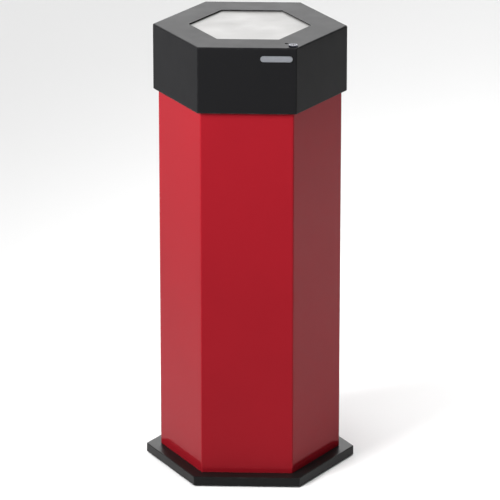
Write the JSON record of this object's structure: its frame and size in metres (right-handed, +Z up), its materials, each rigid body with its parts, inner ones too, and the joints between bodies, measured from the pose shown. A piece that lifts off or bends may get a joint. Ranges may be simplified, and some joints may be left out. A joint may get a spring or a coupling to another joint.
{
  "type": "dog waste bin",
  "caption": "Free-standing six-sided dog waste bin: sheet column on a plinth, hinged lockable hood with a sprung push-down flap in its top, and a lift-out liner with a bail.",
  "frame": {"origin": "on the ground under the middle of the plinth", "axes": "+Z up, -Y out of the front face, +X to the right of someone who faces the front"},
  "size_m": [0.417, 0.362, 0.9031],
  "materials": {
    "red_coat": "gloss red powder coat",
    "black_coat": "satin black powder coat",
    "black_rubber": "matt black rubber",
    "satin_steel": "satin stainless steel",
    "zinc_steel": "zinc plated or galvanised steel",
    "chrome": "bright chrome plate",
    "spring_steel": "drawn spring wire",
    "pale_alloy": "satin anodised",
    "black_plastic": "moulded, matt"
  },
  "bodies": {
    "base": {"base_mat": "black_rubber", "plinth": "black_coat", "column_shell": "red_coat", "foot_bolt_1": "zinc_steel", "foot_bolt_2": "zinc_steel", "foot_bolt_3": "zinc_steel", "foot_bolt_4": "zinc_steel", "foot_bolt_5": "zinc_steel", "foot_bolt_6": "zinc_steel", "seat_buffer_left": "black_rubber", "seat_buffer_right": "black_rubber", "column_hinge_leaf": "red_coat", "column_hinge_rivet_1": "zinc_steel", "column_hinge_rivet_2": "zinc_steel", "hinge_pin": "zinc_steel", "lock_keeper": "zinc_steel", "liner": "zinc_steel", "bail_ear_front": "zinc_steel", "bail_ear_back": "zinc_steel", "bail_ear_rivet_front_1": "zinc_steel", "bail_ear_rivet_front_2": "zinc_steel", "bail_ear_rivet_back_1": "zinc_steel", "bail_ear_rivet_back_2": "zinc_steel"},
    "hood": {"hood_shell": "black_coat", "hood_hinge_leaf": "black_coat", "hood_hinge_rivet_1": "zinc_steel", "hood_hinge_rivet_2": "zinc_steel", "hood_seat_left": "black_coat", "hood_seat_right": "black_coat", "badge_plate": "pale_alloy", "flap_seal": "black_rubber", "flap_bracket_left": "black_coat", "flap_bracket_right": "black_coat", "flap_pin": "zinc_steel", "flap_pin_ring_left": "zinc_steel", "flap_pin_ring_right": "zinc_steel", "flap_spring_left": "spring_steel", "flap_spring_right": "spring_steel", "lock_housing": "chrome", "lock_nut": "zinc_steel"},
    "flap": {"flap_plate": "satin_steel", "flap_ear_left": "satin_steel", "flap_ear_right": "satin_steel"},
    "lock": {"lock_cylinder": "chrome", "lock_cam": "zinc_steel", "cam_nut": "zinc_steel"},
    "bail": {"bail_rod": "zinc_steel", "bail_grip": "black_plastic"}
  },
  "joints": [
    {"name": "hood_hinge", "type": "hinge", "parent": "base", "child": "hood", "pos_m": [0, 0.171, 0.764], "axis": [-1, 0, 0], "range_deg": [0, 100]},
    {"name": "flap_hinge", "type": "hinge", "parent": "hood", "child": "flap", "pos_m": [0, 0.1175, 0.8849], "axis": [1, 0, 0], "range_deg": [0, 60], "stiffness_Nm_per_rad": 0.75, "springref_deg": -80.21, "deforming": ["flap_spring_left", "flap_spring_right"]},
    {"name": "lock_turn", "type": "hinge", "parent": "hood", "child": "lock", "pos_m": [0.08846, -0.149, 0.9], "axis": [0, 0, -1], "range_deg": [0, 90]},
    {"name": "bail_swing", "type": "hinge", "parent": "base", "child": "bail", "pos_m": [0, 0, 0.66558], "axis": [0, 1, 0], "range_deg": [0, 180]}
  ]
}
